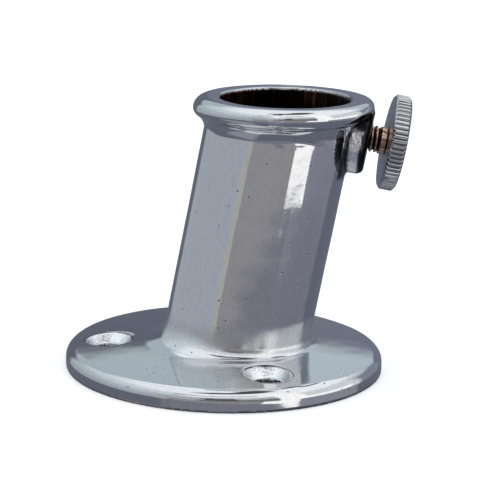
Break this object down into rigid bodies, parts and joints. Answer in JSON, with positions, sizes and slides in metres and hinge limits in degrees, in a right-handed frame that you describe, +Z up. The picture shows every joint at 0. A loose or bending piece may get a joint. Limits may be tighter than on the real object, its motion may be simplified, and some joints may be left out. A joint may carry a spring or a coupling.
{
  "type": "stanchion base",
  "caption": "Leaning socket on a round deck flange, cast in chromed brass with a rolled rim, with a knurled thumb screw in a side lug that clamps a 16 mm pole.",
  "frame": {"origin": "centre of the round flange's flat underside, on the deck", "axes": "+Z up from the deck; +X the way the socket leans, which is the side of the thumb screw"},
  "size_m": [0.0435, 0.041, 0.036],
  "materials": {
    "chrome_plate": "polished plating over cast or turned brass, with small pits",
    "turned_brass": "bare turned and threaded brass, lightly tarnished"
  },
  "bodies": {
    "casting": {"socket_casting": "chrome_plate"},
    "stud": {"clamp_stud": "turned_brass"},
    "head": {"knurled_disc": "chrome_plate"}
  },
  "joints": [
    {"name": "screw_travel", "type": "slide", "parent": "casting", "child": "stud", "axis": [0.9848, 0, -0.1736], "range_m": [-0.0012, 0.0018]},
    {"name": "screw_turn", "type": "hinge", "parent": "stud", "child": "head", "pos_m": [0.00654, 0, 0.0324], "axis": [0.9848, 0, -0.1736], "range_deg": [-720, 1080]}
  ],
  "couplings": [
    {"joint": "screw_turn", "follows": "screw_travel", "rad_per_m": 10472}
  ]
}
